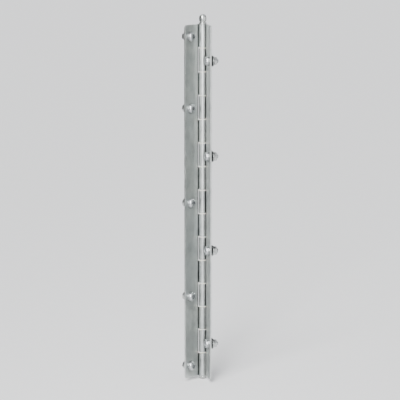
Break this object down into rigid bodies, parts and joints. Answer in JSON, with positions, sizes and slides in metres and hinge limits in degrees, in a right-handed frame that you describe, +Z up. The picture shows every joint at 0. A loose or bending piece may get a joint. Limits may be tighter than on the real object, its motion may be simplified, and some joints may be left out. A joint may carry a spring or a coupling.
{
  "type": "piano hinge",
  "caption": "Continuous hinge for a cabinet door: two rolled-knuckle leaves on one pin, with thrust washers, pin caps and the screws and nuts that clamp the panels.",
  "frame": {"origin": "on the frame leaf's mounting face at mid-length, half way between its line of screws and the pin's axis", "axes": "+Z up along the pin, towards its tall cap; +Y out of the frame leaf's mounting face, into the cabinet; +X towards the barrel; the door leaf stands open towards -Y at rest"},
  "size_m": [0.0291, 0.0363, 0.3886],
  "materials": {
    "frame_leaf_zinc": "satin zinc-plated sheet steel",
    "door_leaf_zinc": "satin zinc-plated sheet steel",
    "pin_steel": "drawn bright steel",
    "bright_cap": "bright nickel plate",
    "nylon": "natural nylon, slightly translucent look, matt",
    "screw_zinc": "bright zinc plate",
    "washer_zinc": "bright zinc plate",
    "nut_zinc": "bright zinc plate"
  },
  "bodies": {
    "frame_side": {"frame_leaf": "frame_leaf_zinc", "hinge_pin": "pin_steel", "upper_pin_cap": "bright_cap", "lower_pin_cap": "bright_cap", "knuckle_washer_01": "nylon", "knuckle_washer_02": "nylon", "knuckle_washer_03": "nylon", "knuckle_washer_04": "nylon", "knuckle_washer_05": "nylon", "knuckle_washer_06": "nylon", "knuckle_washer_07": "nylon", "knuckle_washer_08": "nylon", "knuckle_washer_09": "nylon", "knuckle_washer_10": "nylon", "knuckle_washer_11": "nylon", "knuckle_washer_12": "nylon", "knuckle_washer_13": "nylon", "knuckle_washer_14": "nylon", "frame_screw_1": "screw_zinc", "frame_screw_2": "screw_zinc", "frame_screw_3": "screw_zinc", "frame_screw_4": "screw_zinc", "frame_screw_5": "screw_zinc", "frame_washer_1": "washer_zinc", "frame_washer_2": "washer_zinc", "frame_washer_3": "washer_zinc", "frame_washer_4": "washer_zinc", "frame_washer_5": "washer_zinc", "frame_nut_1": "nut_zinc", "frame_nut_2": "nut_zinc", "frame_nut_3": "nut_zinc", "frame_nut_4": "nut_zinc", "frame_nut_5": "nut_zinc"},
    "door_side": {"door_leaf": "door_leaf_zinc", "door_screw_1": "screw_zinc", "door_screw_2": "screw_zinc", "door_screw_3": "screw_zinc", "door_screw_4": "screw_zinc", "door_washer_1": "washer_zinc", "door_washer_2": "washer_zinc", "door_washer_3": "washer_zinc", "door_washer_4": "washer_zinc", "door_nut_1": "nut_zinc", "door_nut_2": "nut_zinc", "door_nut_3": "nut_zinc", "door_nut_4": "nut_zinc"}
  },
  "joints": [
    {"name": "door_swing", "type": "hinge", "parent": "frame_side", "child": "door_side", "pos_m": [0.008, -0.00415, 0], "axis": [0, 0, 1], "range_deg": [-52, 128]}
  ]
}
